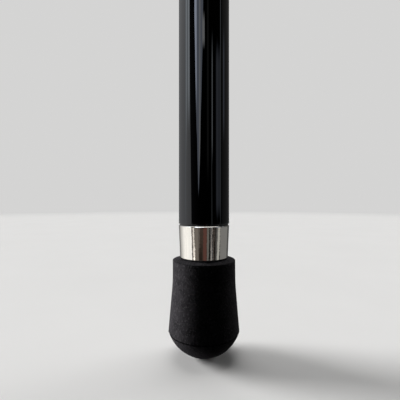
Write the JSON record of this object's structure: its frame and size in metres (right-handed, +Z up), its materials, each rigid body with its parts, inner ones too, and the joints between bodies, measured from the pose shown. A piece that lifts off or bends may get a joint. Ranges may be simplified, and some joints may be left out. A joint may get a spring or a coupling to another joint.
{
  "type": "walking cane",
  "caption": "Height-adjustable walking cane: gloss black telescopic tube, tapered nickel ferrule sleeve, one bell-shaped rubber tip and a derby handle with a fluted lock collar.",
  "frame": {"origin": "centre of the rubber tip's flat foot, where the cane meets the floor", "axes": "+Z up along the shaft; handle along X with its nose at -X and its heel at +X; height button faces -Y"},
  "size_m": [0.1377, 0.032, 0.914],
  "materials": {
    "tip_rubber": "matt, dusty bloom",
    "gasket_rubber": "matt",
    "black_lacquer": "gloss black lacquer on aluminium tube",
    "polished_nickel": "polished warm nickel plate on brass",
    "zinc_steel": "zinc plated",
    "spring_steel": "blued spring steel",
    "button_steel": "polished steel",
    "black_nylon": "moulded satin",
    "white_nylon": "moulded natural nylon",
    "collar_plastic": "moulded satin black",
    "turned_aluminium": "turned",
    "threaded_brass": "machined",
    "handle_resin": "polished black resin"
  },
  "bodies": {
    "lower_shaft": {"lower_tube": "black_lacquer", "rubber_tip": "tip_rubber", "tip_washer": "zinc_steel", "tip_core": "black_nylon", "ferrule_sleeve": "polished_nickel", "sleeve_washer": "black_nylon", "guide_plug": "black_nylon", "snap_spring": "spring_steel"},
    "button": {"snap_button": "button_steel"},
    "upper_shaft": {"upper_tube": "black_lacquer", "lock_bush": "black_nylon", "handle_insert": "turned_aluminium", "insert_pins": "button_steel", "handle_collar": "polished_nickel", "collar_gasket": "gasket_rubber", "handle_stud": "zinc_steel", "handle_nut": "threaded_brass", "handle": "handle_resin"},
    "wedge": {"wedge_ring": "white_nylon"},
    "lock_nut": {"lock_collar": "collar_plastic"}
  },
  "joints": [
    {"name": "height_slide", "type": "slide", "parent": "lower_shaft", "child": "upper_shaft", "axis": [0, 0, 1], "range_m": [-0.0762, 0.0762]},
    {"name": "button_press", "type": "slide", "parent": "lower_shaft", "child": "button", "axis": [0, 1, 0], "range_m": [0, 0.0034], "stiffness_N_per_m": 900, "springref_m": -0.003, "deforming": ["snap_spring"]},
    {"name": "wedge_slide", "type": "slide", "parent": "upper_shaft", "child": "wedge", "axis": [0, 0, 1], "range_m": [-0.0015, 0]},
    {"name": "collar_turn", "type": "hinge", "parent": "wedge", "child": "lock_nut", "pos_m": [0, 0, 0.34], "axis": [0, 0, 1], "range_deg": [-270, 0]}
  ],
  "couplings": [
    {"joint": "wedge_slide", "follows": "collar_turn", "m_per_rad": 0.0003183}
  ]
}
